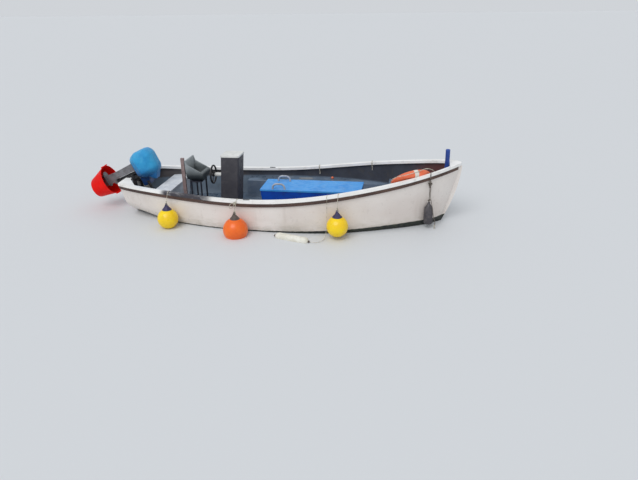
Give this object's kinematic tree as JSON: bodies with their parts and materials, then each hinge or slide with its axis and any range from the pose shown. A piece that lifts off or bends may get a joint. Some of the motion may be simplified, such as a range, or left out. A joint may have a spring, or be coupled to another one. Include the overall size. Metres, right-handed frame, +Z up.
{
  "type": "open rowing boat with a tilted outboard motor",
  "caption": "Open moulded rowing boat with side benches, locker seat, console, helm seat, hung fenders, lifebuoy, mooring post and an outboard motor tilted up.",
  "frame": {"origin": "on the waterline, amidships, on the centreline", "axes": "+X to the bow, +Y to port, +Z up"},
  "size_m": [5.6034, 1.9906, 1.34],
  "materials": {
    "hull_white": "gelcoat, weathered",
    "keel_dark": "dark antifouling paint",
    "rail_white": "white gelcoat capping, dirty in places",
    "strake_black": "black rubbing strip",
    "slate_paint": "slate blue deck paint, worn",
    "bench_grey": "pale grey deck paint",
    "ply_white": "painted plywood",
    "locker_blue": "blue paint on plywood",
    "lid_blue": "lighter blue paint on plywood",
    "hoop_grey": "pale grey plastic tube",
    "galvanised": "galvanised, dull",
    "console_grey": "charcoal moulded box",
    "console_white": "white moulded top",
    "black_plastic": "black moulded plastic",
    "seat_grey": "dark grey moulded shell",
    "seat_frame_dark": "dark paint on tube",
    "post_blue": "blue sleeve on the post",
    "buoy_orange": "faded orange shell with white bands",
    "rope_pale": "pale laid rope",
    "fender_yellow": "inflated vinyl",
    "fender_orange": "inflated vinyl",
    "fender_eye": "dark moulded eye",
    "fender_dark": "dark rubber",
    "fender_white": "white vinyl, weathered",
    "motor_grey": "grey enamel, worn",
    "motor_black": "black enamel",
    "motor_blue": "dark blue enamel",
    "cover_blue": "bright blue coated cloth",
    "tub_red": "flexible red plastic",
    "propeller_metal": "painted casting",
    "engine": "plain block"
  },
  "bodies": {
    "hull": {"hull_shell": "hull_white", "keel": "keel_dark", "gunwale_port": "rail_white", "gunwale_starboard": "rail_white", "breasthook": "rail_white", "quarter_knee_port": "rail_white", "quarter_knee_starboard": "rail_white", "rubbing_strake_port": "strake_black", "rubbing_strake_starboard": "strake_black", "sole": "slate_paint", "side_bench_port": "slate_paint", "side_bench_starboard": "slate_paint", "bow_deck": "slate_paint", "stern_bench": "bench_grey", "transom_board": "ply_white", "locker": "locker_blue", "lid_hinges": "galvanised", "console": "console_grey", "console_top": "console_white", "wheel_boss": "black_plastic", "helm_seat": "seat_grey", "seat_frame": "seat_frame_dark", "mooring_post": "post_blue", "lifebuoy": "buoy_orange", "lifebuoy_grab_line": "rope_pale", "rowlock_sockets": "galvanised", "fender_balls_yellow": "fender_yellow", "fender_ball_orange": "fender_orange", "fender_eye_pieces": "fender_eye", "fender_lines": "rope_pale", "bow_fender": "fender_dark", "bow_fender_line": "rope_pale", "float_line_hitch": "rope_pale", "floating_fender": "fender_white", "float_line": "rope_pale", "fender_cleats": "galvanised", "motor_clamps": "motor_black", "tilt_pin": "galvanised", "clamp_screws": "galvanised"},
    "tilt_bracket": {"swivel_bracket": "motor_black"},
    "motor": {"motor_leg": "motor_grey", "gearcase": "motor_grey", "lower_cowl": "motor_blue", "cowl": "motor_blue", "engine_block": "engine", "motor_cover": "cover_blue", "tiller_handle": "motor_black", "propeller_tub": "tub_red"},
    "propeller": {"propeller": "propeller_metal"},
    "helm_wheel": {"steering_wheel": "black_plastic"},
    "locker_lid": {"locker_lid": "lid_blue", "lid_handles": "hoop_grey"}
  },
  "joints": [
    {"name": "outboard_tilt", "type": "hinge", "parent": "hull", "child": "tilt_bracket", "pos_m": [-2.4, 0, 0.47], "axis": [0, 1, 0], "range_deg": [-49, 7]},
    {"name": "outboard_steer", "type": "hinge", "parent": "tilt_bracket", "child": "motor", "pos_m": [-2.4317, 0, 0.53797], "axis": [0.9063, 0, 0.4226], "range_deg": [-35, 35]},
    {"name": "propeller_spin", "type": "hinge", "parent": "motor", "child": "propeller", "pos_m": [-3.01741, 0, 0.46897], "axis": [0.4226, 0, -0.9063], "continuous": true},
    {"name": "helm_wheel_turn", "type": "hinge", "parent": "hull", "child": "helm_wheel", "pos_m": [-1.15, 0, 0.575], "axis": [1, 0, 0], "range_deg": [-525, 525]},
    {"name": "locker_lid_hinge", "type": "hinge", "parent": "hull", "child": "locker_lid", "pos_m": [0.34, 0.2643, 0.4355], "axis": [-1, 0, 0], "range_deg": [0, 100]}
  ],
  "couplings": [
    {"joint": "helm_wheel_turn", "follows": "outboard_steer", "ratio": 15}
  ]
}
